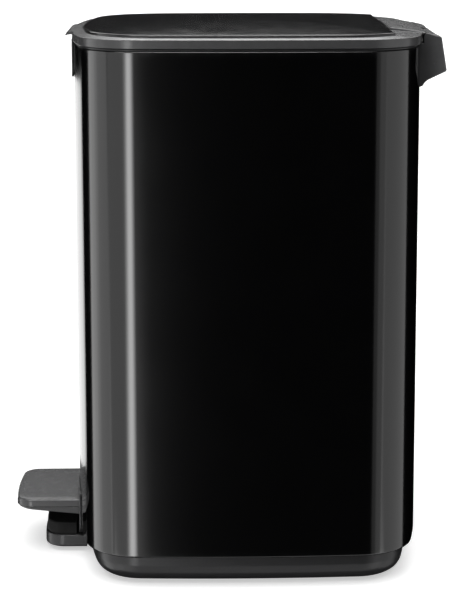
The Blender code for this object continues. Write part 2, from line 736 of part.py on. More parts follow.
# ---------------------------------------------------------------- pedal and rod


PEDAL_PIVOT = (0.0, AXLE_Y, AXLE_Z)


def pad_outline(shrink):
    """Plan of the pedal pad: round front corners and a slightly bowed tip."""
    half, tip, radius = PEDAL_HALF_WIDTH - shrink, PEDAL_TIP_Y + 1.2 + shrink, PEDAL_CORNER_RADIUS - shrink
    rear = PEDAL_REAR_Y - shrink
    return (
        [(half, rear), (-half, rear)]
        + rounded_corner((-half + radius, tip + radius), radius, 180, 262, 5)
        + [(0.0, tip - 1.2)]
        + rounded_corner((half - radius, tip + radius), radius, 278, 360, 5)
    )


def pedal_pad():
    """Hollow cap whose skirt gets shallower towards the tip."""

    def skirt(y):
        share = (y - PEDAL_TIP_Y) / (FRONT_Y - PEDAL_TIP_Y)
        return PEDAL_TOP - 6.8 - 6.0 * min(1.0, share)

    def skirt_loop(shrink):
        return [(x, y, skirt(y)) for x, y in pad_outline(shrink)]

    loops = [at_height(pad_outline(3.2), PEDAL_CEILING), skirt_loop(3.2), skirt_loop(1.2)]
    loops += [at_height(pad_outline(s), z) for s, z in
              ((0.2, PEDAL_TOP - 6.4), (0.0, PEDAL_TOP - 5.6), (0.0, PEDAL_TOP - 1.6), (0.5, PEDAL_TOP - 0.5),
               (1.7, PEDAL_TOP))]
    pad = loft("pedal_pad", loops, grey_plastic(), pivot=PEDAL_PIVOT)
    passage = box("pad_lever_passage", (-12.0, PEDAL_REAR_Y - 5.0, 20.0),
                  (12.0, PEDAL_REAR_Y + 5.0, PEDAL_CEILING - 0.05), grey_plastic())
    return cut(pad, passage, *pedal_screw_holes("pad", 1.3, PEDAL_TOP - 1.0))


def pedal_screw_holes(prefix, radius, top):
    return [
        turned(f"{prefix}_screw_hole_{side}", [(30.0, radius), (top, radius)], (x, PEDAL_REAR_Y - 4.0, 0.0), "Z",
               zinc_steel(), steps=12)
        for side, x in (("left", -6.0), ("right", 6.0))
    ]


def pedal_lever():
    """Pressed-steel channel from the pad to the push rod, with a sleeve for the axle."""
    half = LEVER_HALF_WIDTH
    plate_low = LEVER_TOP - LEVER_SHEET
    plate = box("pedal_lever", (-half, LEVER_FRONT_Y, plate_low), (half, LEVER_REAR_Y, LEVER_TOP), zinc_steel(),
                pivot=PEDAL_PIVOT)
    flanges = [
        box(f"lever_flange_{side}", (min(a, b), PEDAL_REAR_Y + 2.0, AXLE_Z - 3.0), (max(a, b), LEVER_REAR_Y - 0.05,
            plate_low + 0.8), zinc_steel())
        for side, a, b in (("left", -half + 0.02, -half + LEVER_SHEET), ("right", half - LEVER_SHEET, half - 0.02))
    ]
    sleeve = turned("lever_sleeve", [(-half, 6.0), (half, 6.0)], PEDAL_PIVOT, "X", zinc_steel(), steps=24)
    fuse(plate, *flanges, sleeve)
    return cut(plate, axle_seat("lever_axle_hole"), *pedal_screw_holes("lever", 1.5, PEDAL_TOP))


def pedal_screws():
    for side, x in (("left", -6.0), ("right", 6.0)):
        screw(f"pedal_screw_{side}", (x, PEDAL_REAR_Y - 4.0, LEVER_TOP - LEVER_SHEET - GAP), 1.0, "Z", 1.0,
              zinc_steel(), 4.0, shank_radius=1.0)


def push_rod():
    """Steel rod behind the bucket, with a plastic cap that lifts the lid frame."""
    cap_low, cap_top = RIM_TOP + 0.5, DECK_BOTTOM - 0.5
    turned("push_rod", [(LEVER_TOP + 0.7, ROD_RADIUS), (cap_top - 1.0, ROD_RADIUS)], (0.0, ROD_Y, 0.0), "Z",
           zinc_steel(), steps=16)
    turned("rod_cap", [(cap_low, ROD_RADIUS + 0.1), (cap_low, 3.5), (cap_top - 0.6, 3.5), (cap_top, 2.6),
                       (cap_top, 0.4), (cap_top - 0.7, 0.4), (cap_top - 0.7, ROD_RADIUS + 0.1)],
           (0.0, ROD_Y, 0.0), "Z", rubber(), steps=16, ring=True)


# ---------------------------------------------------------------- assembly


def clear_scene():
    for old in list(bpy.data.objects):
        bpy.data.objects.remove(old, do_unlink=True)


def main():
    clear_scene()
    for make in (
        outer_shell, base_tray, bearing_caps, bearing_screws, lever_axle, pedal_bezel, base_nose, rubber_feet,
        body_rim, hinge_housing, hinge_pin, housing_screws, inner_bucket, rod_guide, lid_buffers,
        lid_frame, lid_panel, lid_liner, pedal_pad, pedal_lever, pedal_screws, push_rod,
    ):
        make()


main()
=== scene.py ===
import json
import math

import bmesh
import bpy
import numpy as np
from mathutils import Matrix, Vector


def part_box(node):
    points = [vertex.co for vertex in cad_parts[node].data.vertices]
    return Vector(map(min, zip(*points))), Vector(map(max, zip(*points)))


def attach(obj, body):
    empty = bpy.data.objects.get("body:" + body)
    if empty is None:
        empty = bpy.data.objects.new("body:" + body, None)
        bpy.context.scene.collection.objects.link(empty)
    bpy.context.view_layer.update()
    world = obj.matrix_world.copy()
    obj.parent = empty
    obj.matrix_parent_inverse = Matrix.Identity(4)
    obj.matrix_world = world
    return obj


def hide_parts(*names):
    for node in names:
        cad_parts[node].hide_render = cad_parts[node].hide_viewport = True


# Looks of the pedal trash can: finely modelled pieces, materials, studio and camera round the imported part.
# Shapes are written in millimetres in the part's own frame: +Z up, -Y the front, floor at zero.

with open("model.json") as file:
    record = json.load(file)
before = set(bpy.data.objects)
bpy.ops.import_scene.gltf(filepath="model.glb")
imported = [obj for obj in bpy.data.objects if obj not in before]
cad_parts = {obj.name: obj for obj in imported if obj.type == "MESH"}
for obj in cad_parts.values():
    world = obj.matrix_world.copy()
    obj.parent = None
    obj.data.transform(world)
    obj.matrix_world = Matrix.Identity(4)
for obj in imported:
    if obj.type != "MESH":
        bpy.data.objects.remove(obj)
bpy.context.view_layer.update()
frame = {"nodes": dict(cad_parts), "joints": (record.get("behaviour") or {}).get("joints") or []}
MM = 0.001


def span(node):
    """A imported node's lowest and highest corner, in millimetres."""
    low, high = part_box(node)
    return low / MM, high / MM


def pivot(joint_name):
    """A point on a joint's axis, in millimetres."""
    joint = next(j for j in frame["joints"] if j["name"] == joint_name)
    return Vector(joint["pos_m"]) / MM


# Body plan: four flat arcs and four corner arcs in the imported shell's box, and the steps along each.
shell_low, shell_high = span("outer_shell")
HALF_WIDTH = shell_high.x
FRONT_Y, REAR_Y = shell_low.y, shell_high.y
CENTRE_Y, HALF_LENGTH = (FRONT_Y + REAR_Y) / 2.0, (REAR_Y - FRONT_Y) / 2.0
SHELL_BOTTOM, SHELL_TOP = shell_low.z, shell_high.z
CORNER_RADIUS, END_ARC_RADIUS, SIDE_ARC_RADIUS = 42.0, 400.0, 1450.0
SIDE_STEPS, CORNER_STEPS, END_STEPS = 8, 18, 12
SHEET, GAP = 1.0, 0.3

# Heights of the lid's stack.
RIM_TOP = SHELL_TOP + 1.7
RING_BOTTOM = SHELL_TOP + 2.0
RING_EDGE = RING_BOTTOM + 6.0
RING_CREST = RING_EDGE + 1.2
DECK_BOTTOM = RING_EDGE - 2.0
LEDGE_TOP = RING_CREST - 1.6
PANEL_EDGE = RING_CREST + 1.5
PANEL_CROWN = span("lid_panel")[1].z
PANEL_REAR_Y = span("lid_panel")[1].y
PANEL_THICKNESS = 1.0
PANEL_CORNER_RADIUS = 48.0
RING_OVERHANG = 1.3

# Hinge.
hinge = pivot("lid_hinge")
HINGE_Y, HINGE_Z = hinge.y, hinge.z
KNUCKLE_RADIUS, PIN_HOLE_RADIUS = 3.0, 1.35
KNUCKLE_END_RADIUS, KNUCKLE_CHAMFER = 2.7, 0.3
CENTRE_KNUCKLE_HALF, LID_KNUCKLE_INNER, LID_KNUCKLE_OUTER, CHEEK_INNER = 9.7, 10.1, 43.5, 43.9
BLOCK_FRONT_HALF, BLOCK_TAPER, BLOCK_WALL = 40.0, 0.45, 2.6
WEB_TOP, WEB_BOTTOM = HINGE_Z - 3.5, HINGE_Z - 6.5
HOUSING_SCREW_X, HOUSING_SCREW_Z = 46.0, 365.5
LIP_HALF_WIDTH = 35.0

# Pedal linkage.
axle = pivot("pedal_hinge")
pad_low, pad_high = span("pedal_pad")
PEDAL_TOP, PEDAL_TIP_Y, PEDAL_REAR_Y = pad_high.z, pad_low.y, pad_high.y
PEDAL_HALF_WIDTH, PEDAL_CORNER_RADIUS = pad_high.x, 12.0
PEDAL_CEILING = PEDAL_TOP - 3.0
bezel_low, bezel_high = span("pedal_bezel")
nose_low, nose_high = span("base_nose")
stop_low, stop_high = span("pedal_stop")
TRAY_BOTTOM = span("base_tray")[0].z
TRAY_INSET = 6.5

# Inner bucket.
bucket_low, bucket_high = span("inner_bucket")
BUCKET_WALL = 1.8

# Meshes: steps round a box's edges, the part of a side that one rounding may take, and the angle above
# which an edge is shaded sharp.
BOX_EDGE_SEGMENTS = 3
ROUNDING_SHARE = 0.48
SHARP_ANGLE = 38.0

# Size of the patches that break up the wear on rims.
WORN_PATCH = 9.0


# ------------------------------------------------------------------ outlines


def corner_centre(end_arc, side_arc, end_radius, side_radius, corner):
    """Centre of the circle that touches both flat arcs from inside."""
    reach_end, reach_side = end_radius - corner, side_radius - corner
    gap = (side_arc - end_arc).length
    along = (reach_end**2 - reach_side**2 + gap**2) / (2.0 * gap)
    across = math.sqrt(reach_end**2 - along**2)
    direction = (side_arc - end_arc) / gap
    normal = Vector((-direction.y, direction.x))
    found = [end_arc + direction * along + normal * side * across for side in (-1.0, 1.0)]
    return max(found, key=lambda point: point.x + point.y)


def plan(inset, rear=None, corner=None, rear_cut=None):
    """The body's plan as (x, y) rows, shrunk by inset at the front and sides and by rear at the rear."""
    rear = inset if rear is None else rear
    corner = CORNER_RADIUS - inset if corner is None else corner
    half_length = HALF_LENGTH - (inset + rear) / 2.0
    end_radius, side_radius = END_ARC_RADIUS - inset, SIDE_ARC_RADIUS - inset
    end_arc = Vector((0.0, half_length - end_radius))
    side_arc = Vector((HALF_WIDTH - inset - side_radius, 0.0))
    centre = corner_centre(end_arc, side_arc, end_radius, side_radius, corner)
    low = math.atan2(centre.y - side_arc.y, centre.x - side_arc.x)
    high = math.atan2(centre.y - end_arc.y, centre.x - end_arc.x)
    quarter = []
    for origin, radius, first, last, steps in (
        (side_arc, side_radius, 0.0, low, SIDE_STEPS),
        (centre, corner, low, high, CORNER_STEPS),
        (end_arc, end_radius, high, math.pi / 2.0, END_STEPS),
    ):
        turns = first + (last - first) * np.arange(steps) / steps
        quarter.append(np.c_[origin.x + radius * np.cos(turns), origin.y + radius * np.sin(turns)])
    quarter = np.concatenate(quarter)
    half = np.concatenate([quarter, [(0.0, half_length)], quarter[::-1] * (-1.0, 1.0)])
    points = np.concatenate([half, -half[1:-1]])
    points[:, 1] += CENTRE_Y + (inset - rear) / 2.0
    return points if rear_cut is None else straighten_rear(points, rear_cut)


def straighten_rear(points, rear_cut):
    """Lays the points behind rear_cut on a straight line across, with a sharp corner at each end of it."""
    trimmed = points.copy()
    for i, (x, y) in enumerate(points):
        before, after = points[i - 1], points[(i + 1) % len(points)]
        outside = next((near for near in (before, after) if near[1] <= rear_cut), None)
        if y > rear_cut and outside is not None:
            share = (rear_cut - outside[1]) / (y - outside[1])
            trimmed[i, 0] = outside[0] + (x - outside[0]) * share
    trimmed[:, 1] = np.minimum(trimmed[:, 1], rear_cut)
    return trimmed


def at_height(points, z):
    """(x, y) rows as (x, y, z) rows."""
    points = np.asarray(points, float)
    return np.c_[points, np.full(len(points), z)]


def plan_levels(levels, **options):
    """Loops from (inset, z) pairs, or from (inset, rear inset, z) triples."""
    return [at_height(plan(*level[:-1], **options), level[-1]) for level in levels]


def end_bow(x, inset=0.0):
    """How far the body's end wall lies behind its middle at x."""
    radius = END_ARC_RADIUS - inset
    return radius - np.sqrt(radius**2 - np.square(x))


def arc(centre, radius, first, last, steps):
    """Points on a circle between two angles in degrees."""
    turns = np.radians(np.linspace(first, last, steps + 1))
    return np.c_[centre[0] + radius * np.cos(turns), centre[1] + radius * np.sin(turns)]


def rounded_rectangle(low, high, radius, steps=8, along=1):
    """Counter-clockwise outline. along is the number of equal parts in each straight run across."""
    (x0, y0), (x1, y1) = low, high
    corners = [
        arc((x1 - radius, y0 + radius), radius, -90, 0, steps),
        arc((x1 - radius, y1 - radius), radius, 0, 90, steps),
        arc((x0 + radius, y1 - radius), radius, 90, 180, steps),
        arc((x0 + radius, y0 + radius), radius, 180, 270, steps),
    ]
    runs = []
    for i, corner in enumerate(corners):
        following = corners[(i + 1) % 4]
        shares = (np.arange(1, along) / along)[:, None]
        runs += [corner, corner[-1] + (following[0] - corner[-1]) * shares]
    return np.concatenate(runs)


def rounded(loops, radii, steps=4):
    """Replaces each loop that has a radius by a run of loops that rounds the corner there to about it."""
    loops = [np.asarray(loop, float) for loop in loops]
    made = []
    for i, (here, radius) in enumerate(zip(loops, radii)):
        if radius == 0.0:
            made.append(here)
            continue
        back, onward = loops[i - 1] - here, loops[(i + 1) % len(loops)] - here
        far_back = np.linalg.norm(back, axis=1, keepdims=True) + 1e-9
        far_on = np.linalg.norm(onward, axis=1, keepdims=True) + 1e-9
        cosine = np.sum(back / far_back * onward / far_on, axis=1, keepdims=True)
        half_angle = np.arccos(np.clip(cosine, -0.99999, 0.99999)) / 2.0
        reach = np.minimum(radius / np.tan(half_angle), ROUNDING_SHARE * np.minimum(far_back, far_on))
        first, last = here + back / far_back * reach, here + onward / far_on * reach
        for share in np.linspace(0.0, 1.0, steps + 1):
            made.append((1 - share) ** 2 * first + 2 * share * (1 - share) * here + share**2 * last)
    return made


def rounded_profile(points, radii, steps=4):
    """The same for a single closed outline of (a, b) points."""
    loops = [np.array([point], float) for point in points]
    return np.concatenate(rounded(loops, radii, steps))


# ------------------------------------------------------------------ meshes


def solid(name, build):
    """An object from a bmesh in millimetres."""
    bmesh.ops.recalc_face_normals(build, faces=build.faces)
    mesh = bpy.data.meshes.new(name)
    build.to_mesh(mesh)
    build.free()
    mesh.transform(Matrix.Scale(MM, 4))
    made = bpy.data.objects.new(name, mesh)
    bpy.context.scene.collection.objects.link(made)
    return made


def loft(name, loops, ring=False):
    """Skins loops of equal point count. A ring joins last to first; otherwise the ends are capped."""
    build = bmesh.new()
    rows = [[build.verts.new(tuple(point)) for point in loop] for loop in loops]
    pairs = list(zip(rows, rows[1:])) + ([(rows[-1], rows[0])] if ring else [])
    for low, high in pairs:
        for i in range(len(low)):
            j = (i + 1) % len(low)
            build.faces.new((low[i], low[j], high[j], high[i]))
    if not ring:
        build.faces.new(rows[0])
        build.faces.new(rows[-1])
    return solid(name, build)


def block(name, low, high, edge=0.0):
    """Box between two corners. edge is the radius of its edges."""
    build = bmesh.new()
    bmesh.ops.create_cube(build, size=1.0)
    low, high = Vector(low), Vector(high)
    bmesh.ops.scale(build, verts=build.verts, vec=high - low)
    bmesh.ops.translate(build, verts=build.verts, vec=(low + high) / 2.0)
    if edge:
        bmesh.ops.bevel(build, geom=build.edges[:], offset=edge, segments=BOX_EDGE_SEGMENTS,
                        affect="EDGES", profile=0.5)
    return solid(name, build)


def turned(name, profile, centre, axis, steps=48):
    """A solid of revolution: profile holds (distance along the axis, radius) pairs measured from centre."""
    turns = 2.0 * np.pi * np.arange(steps) / steps
    order = {"X": (2, 0, 1), "Y": (0, 2, 1), "Z": (0, 1, 2)}[axis]
    loops = []
    for along, radius in profile:
        ringed = np.c_[radius * np.cos(turns), radius * np.sin(turns), np.full(steps, along)]
        loops.append(ringed[:, order] + np.array(centre))
    return loft(name, loops)


def bore(name, first, last, radius, centre, axis, steps):
    """Straight round cutter or boss along an axis, between two distances from centre."""
    return turned(name, [(first, radius), (last, radius)], centre, axis, steps)


def outward(profile):
    """The move of each corner of a closed outline that takes both its sides out by one unit, and whether
    the corner turns inward."""
    ahead = np.roll(profile, -1, axis=0) - profile
    ahead /= np.linalg.norm(ahead, axis=1, keepdims=True)
    before = np.roll(ahead, 1, axis=0)
    area = np.sum(profile[:, 0] * np.roll(profile[:, 1], -1) - profile[:, 1] * np.roll(profile[:, 0], -1))
    turning = 1.0 if area > 0 else -1.0
    side = np.c_[ahead[:, 1], -ahead[:, 0]] * turning
    both = side + np.roll(side, 1, axis=0)
    both /= np.linalg.norm(both, axis=1, keepdims=True)
    hollow = (before[:, 0] * ahead[:, 1] - before[:, 1] * ahead[:, 0]) * turning < 0.0
    least_cosine = 0.4
    return both / np.maximum(least_cosine, np.sum(both * side, axis=1, keepdims=True)), hollow


def side_prism(name, profile, half_width, radii, edge, steps=3):
    """A solid symmetric in X from a (y, z) profile, with rounded outer edges.

    half_width gives its X reach at each y.
    """
    least_radius = 0.06
    profile = np.array(profile, float)
    away, hollow = outward(profile)
    right = []
    for turn in np.linspace(0.0, math.pi / 2.0, steps + 1):
        shrink = edge * (1.0 - math.sin(turn))
        left_over = [max(least_radius, radius + (shrink if dent else -shrink)) if radius else 0.0
                     for radius, dent in zip(radii, hollow)]
        section = rounded_profile(profile - away * shrink, left_over)
        reach = half_width(section[:, 0]) - edge * (1.0 - math.cos(turn))
        right.append(np.c_[np.broadcast_to(reach, len(section)), section])
    left = [loop * (-1.0, 1.0, 1.0) for loop in right]
    return loft(name, left + right[::-1])


def bowed_plate(name, half_width, low, high, insets, radii, edge):
    """Plate on the body's front wall, between two insets. radii round its lower and upper corners."""
    flat = half_width - max(radii) if max(radii) else half_width - edge
    bends = max(radii) or edge
    stations = [flat * i / 8.0 for i in range(9)]
    stations += [flat + (bends - 0.01) * math.sin(math.radians(turn)) for turn in range(9, 91, 9)]
    stations = [-x for x in reversed(stations[1:])] + stations

    def rise(x, radius):
        over = abs(x) - (half_width - radius)
        return radius - math.sqrt(max(0.0, radius**2 - over**2)) if over > 0.0 else 0.0

    loops = []
    for x in stations:
        over = max(0.0, abs(x) - (half_width - edge))
        shrink = edge - math.sqrt(max(0.0, edge**2 - over**2))
        bottom, top = low + rise(x, radii[0]) + shrink, high - rise(x, radii[1]) - shrink
        front, back = [FRONT_Y + inset + end_bow(x, inset) for inset in insets]
        front, back = front + shrink * 0.9, back - shrink * 0.4
        corners = [(front, bottom), (front, top), (back, top), (back, bottom)]
        section = rounded_profile(corners, [edge, edge, edge * 0.4, edge * 0.4])
        loops.append(np.c_[np.full(len(section), x), section])
    return loft(name, loops)


def carve(base, joined=(), cut=()):
    """Joins some solids to base, cuts others from it, and deletes them."""
    for operation, others in (("UNION", joined), ("DIFFERENCE", cut)):
        for other in others:
            step = base.modifiers.new(other.name, "BOOLEAN")
            step.operation, step.object, step.solver = operation, other, "EXACT"
    bpy.context.view_layer.update()
    graph = bpy.context.evaluated_depsgraph_get()
    mesh = bpy.data.meshes.new_from_object(base.evaluated_get(graph))
    base.modifiers.clear()
    base.data = mesh
    for other in (*joined, *cut):
        bpy.data.objects.remove(other)
    return base


def mark_edges(mesh):
    """Stores as "edge" how sharply the surface turns outward at each point: 0 on flats, 1 on rims."""
    flat, rim = 0.12, 0.92
    count = len(mesh.vertices)
    points, normals = np.zeros(count * 3), np.zeros(count * 3)
    mesh.vertices.foreach_get("co", points)
    mesh.vertex_normals.foreach_get("vector", normals)
    points, normals = points.reshape(-1, 3) / MM, normals.reshape(-1, 3)
    ends = np.zeros(len(mesh.edges) * 2, np.int32)
    mesh.edges.foreach_get("vertices", ends)
    first, second = ends.reshape(-1, 2).T
    along = points[second] - points[first]
    squared = np.sum(along**2, axis=1) + 1e-6
    bend = np.sum((normals[second] - normals[first]) * along, axis=1) / squared
    most = np.zeros(count)
    np.maximum.at(most, first, bend)
    np.maximum.at(most, second, bend)
    layer = mesh.attributes.new("edge", "FLOAT", "POINT")
    layer.data.foreach_set("value", np.clip((most - flat) / (rim - flat), 0.0, 1.0))


def piece(made, slot, body, *nodes):
    """Gives a finished solid its surface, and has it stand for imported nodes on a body."""
    mesh = made.data
    build = bmesh.new()
    build.from_mesh(mesh)
    bmesh.ops.remove_doubles(build, verts=build.verts, dist=2e-6)
    bmesh.ops.dissolve_degenerate(build, edges=build.edges, dist=1e-6)
    bmesh.ops.recalc_face_normals(build, faces=build.faces)
    build.to_mesh(mesh)
    build.free()
    mark_edges(mesh)
    mesh.materials.clear()
    mesh.materials.append(SURFACES[slot])
    mesh.shade_smooth()
    mesh.set_sharp_from_angle(angle=math.radians(SHARP_ANGLE))
    weighted = made.modifiers.new("weighted_normals", "WEIGHTED_NORMAL")
    weighted.keep_sharp = True
    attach(made, body)
    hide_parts(*nodes)
    return made


# ------------------------------------------------------------------ surfaces


class Surface:
    """A Principled material whose colour, roughness and relief vary over the piece."""

    def __init__(self, name, colour, roughness, metallic=0.0, specular=0.5):
        self.material = bpy.data.materials.new(name)
        self.material.use_nodes = True
        self.material.diffuse_color = (*colour, 1.0)
        self.nodes, self.links = self.material.node_tree.nodes, self.material.node_tree.links
        self.shader = self.nodes["Principled BSDF"]
        self.colour, self.roughness = colour, roughness
        self.shader.inputs["Metallic"].default_value = metallic
        self.shader.inputs["Specular IOR Level"].default_value = specular
        self.place = self.nodes.new("ShaderNodeTexCoord").outputs["Object"]

    def noise(self, size_mm, detail, stretch=(1.0, 1.0, 1.0)):
        """Noise whose features are about size_mm across."""
        mapping = self.nodes.new("ShaderNodeMapping")
        mapping.inputs["Scale"].default_value = stretch
        self.links.new(self.place, mapping.inputs["Vector"])
        noise = self.nodes.new("ShaderNodeTexNoise")
        noise.inputs["Scale"].default_value = 1.0 / (size_mm * MM)
        noise.inputs["Detail"].default_value = detail
        self.links.new(mapping.outputs["Vector"], noise.inputs["Vector"])
        return noise.outputs["Fac"]

    def remap(self, value, low, high, source=(0.3, 0.7)):
        """Stretches the source range of a value to low..high."""
        node = self.nodes.new("ShaderNodeMapRange")
        node.inputs["From Min"].default_value, node.inputs["From Max"].default_value = source
        node.inputs["To Min"].default_value, node.inputs["To Max"].default_value = low, high
        self.links.new(value, node.inputs["Value"])
        return node.outputs["Result"]

    def math(self, operation, a, b):
        """Result of a math node on a and b, each a number or a socket."""
        node = self.nodes.new("ShaderNodeMath")
        node.operation = operation
        for socket, value in zip(node.inputs, (a, b)):
            if isinstance(value, (int, float)):
                socket.default_value = value
            else:
                self.links.new(value, socket)
        return node.outputs[0]

    def mix(self, factor, a, b):
        """Colour between a and b, each a colour or a socket."""
        node = self.nodes.new("ShaderNodeMix")
        node.data_type = "RGBA"
        self.links.new(factor, node.inputs["Factor"])
        for socket, value in ((node.inputs[6], a), (node.inputs[7], b)):
            if isinstance(value, tuple):
                socket.default_value = (*value, 1.0)
            else:
                self.links.new(value, socket)
        return node.outputs[2]

    def edge(self):
        """Worn share of the surface: its rims, broken up by noise."""
        attribute = self.nodes.new("ShaderNodeAttribute")
        attribute.attribute_name = "edge"
        patches = self.remap(self.noise(WORN_PATCH, 4.0), 0.25, 1.0, (0.38, 0.62))
        return self.math("MULTIPLY", attribute.outputs["Fac"], patches)

    def paint(self, mottle_mm, spread, worn, worn_share):
        """Colour that drifts by spread over mottle_mm, and turns towards worn on the rims."""
        darker = tuple(c * (1.0 - spread) for c in self.colour)
        lighter = tuple(c * (1.0 + spread) for c in self.colour)
        drift = self.mix(self.remap(self.noise(mottle_mm, 4.0), 0.0, 1.0), darker, lighter)
        share = self.math("MULTIPLY", self.edge(), worn_share)
        self.links.new(self.mix(share, drift, worn), self.shader.inputs["Base Color"])

    def polish(self, mottle_mm, spread, edge_change=0.0, stretch=(1.0, 1.0, 1.0)):
        """Roughness that drifts by spread, and changes on handled rims."""
        patches = self.noise(mottle_mm, 5.0, stretch)
        drift = self.remap(patches, self.roughness - spread, self.roughness + spread)
        rims = self.math("MULTIPLY", self.edge(), edge_change)
        self.links.new(self.math("ADD", drift, rims), self.shader.inputs["Roughness"])

    def relief(self, *layers):
        """Bump layers of (feature size, depth) in millimetres and an optional stretch, coarse first."""
        below = None
        for size_mm, depth_mm, *stretch in layers:
            bump = self.nodes.new("ShaderNodeBump")
            bump.inputs["Distance"].default_value = depth_mm * MM
            bump.inputs["Strength"].default_value = 1.0
            self.links.new(self.noise(size_mm, 2.0, *stretch), bump.inputs["Height"])
            if below:
                self.links.new(below, bump.inputs["Normal"])
            below = bump.outputs["Normal"]
        self.links.new(below, self.shader.inputs["Normal"])


def black_enamel():
    """Glossy baked enamel with a faint orange peel."""
    made = Surface("black_enamel", (0.0022, 0.0022, 0.0024), 0.12, specular=0.42)
    made.paint(30.0, 0.15, (0.012, 0.012, 0.013), 0.5)
    made.polish(40.0, 0.004, 0.05)
    made.relief((1.3, 0.0006))
    return made.material


def satin_black():
    """Coated sheet of the lid: dark and half glossy, with a fine even grit."""
    made = Surface("satin_black", (0.022, 0.022, 0.0225), 0.125, specular=0.26)
    made.paint(0.5, 0.25, (0.05, 0.05, 0.051), 0.4)
    made.polish(18.0, 0.02, 0.04)
    made.relief((18.0, 0.002), (0.45, 0.0008))
    return made.material


def grey_plastic():
    """Moulded plastic with a spark-eroded grain, slightly polished where it is handled."""
    made = Surface("grey_plastic", (0.072, 0.072, 0.074), 0.27, specular=0.3)
    made.paint(1.2, 0.05, (0.105, 0.105, 0.107), 0.4)
    made.polish(7.0, 0.012, -0.03)
    made.relief((5.0, 0.0008), (0.5, 0.0010))
    return made.material


def dark_plastic():
    """The same moulding in a darker, duller plastic."""
    made = Surface("dark_plastic", (0.034, 0.034, 0.0355), 0.31, specular=0.2)
    made.paint(1.5, 0.06, (0.055, 0.055, 0.057), 0.4)
    made.polish(9.0, 0.018, -0.03)
    made.relief((6.0, 0.001), (0.6, 0.0012))
    return made.material


def bucket_plastic():
    """Smooth polypropylene with faint draw marks down its walls."""
    made = Surface("bucket_plastic", (0.058, 0.059, 0.061), 0.42, specular=0.45)
    made.paint(12.0, 0.1, (0.10, 0.10, 0.104), 0.5)
    made.polish(6.0, 0.05, -0.05, (1.0, 1.0, 0.12))
    made.relief((9.0, 0.01), (0.9, 0.004, (1.0, 1.0, 0.05)))
    return made.material


def rubber():
    """Dull black rubber with a fine grain: its own black, made darker and duller to paint in the shade under
    the pedal on the stop pad.
    """
    # Colour and gloss kept this low partly as painted shade: the stop under the pedal must read as black as
    # its shadow.
    made = Surface("rubber", (0.006, 0.006, 0.006), 0.72, specular=0.08)
    made.paint(2.5, 0.25, (0.02, 0.02, 0.02), 0.5)
    made.polish(4.0, 0.06)
    made.relief((0.7, 0.012))
    return made.material


def zinc_steel():
    """Zinc-plated steel: crystalline mottling and drawn scratches."""
    made = Surface("zinc_steel", (0.56, 0.57, 0.58), 0.34, metallic=1.0)
    made.paint(3.0, 0.12, (0.40, 0.38, 0.35), 0.3)
    made.polish(2.0, 0.08, 0.05)
    made.relief((1.6, 0.004), (0.35, 0.003, (1.0, 0.06, 1.0)))
    return made.material


SURFACES = {make.__name__: make() for make in (
    black_enamel, satin_black, grey_plastic, dark_plastic, bucket_plastic, rubber, zinc_steel)}


# ------------------------------------------------------------------ body


def pin_bore():
    """Cutter for the hinge pin's hole, longer than the hinge block is wide."""
    return bore("pin_bore", -53.0, 53.0, PIN_HOLE_RADIUS, hinge, "X", 32)


def screw_places():
    """Side and X of the two screws that hold the hinge housing."""
    return [("left", -HOUSING_SCREW_X), ("right", HOUSING_SCREW_X)]


def shell_skin():
    """Sheet-steel tube with both edges rolled in."""
    low, high = SHELL_BOTTOM, SHELL_TOP
    hem = 4.0
    band = 5.0  # loops this far from the rims keep their wear off the walls
    levels = [(hem, low), (0.0, low), (0.0, low + band), (0.0, high - band), (0.0, high), (hem, high),
              (hem, high - SHEET), (SHEET, high - SHEET), (SHEET, high - band), (SHEET, low + band),
              (SHEET, low + SHEET), (hem, low + SHEET)]
    radii = [0.3, 1.5, 0.0, 0.0, 0.8, 0.3, 0.2, 0.8, 0.0, 0.0, 0.8, 0.2]
    loops = rounded(plan_levels(levels), radii, 5)
    shell = loft("shell_skin", loops, ring=True)
    slot_half, slot_low, slot_radius = 43.5, 10.0, 7.0
    outline = rounded_rectangle((-slot_half, slot_low), (slot_half, bezel_high.z - 1.5), slot_radius)
    notch = loft("notch", [np.c_[outline[:, 0], np.full(len(outline), y), outline[:, 1]]
                           for y in (FRONT_Y - 8.0, FRONT_Y + 14.0)])
    holes = [bore(f"hole_{side}", -8.0, 4.0, 1.8, (x, REAR_Y - end_bow(x), HOUSING_SCREW_Z), "Y", 24)
             for side, x in screw_places()]
    piece(carve(shell, cut=[notch, *holes]), "black_enamel", "bin_body", "outer_shell")


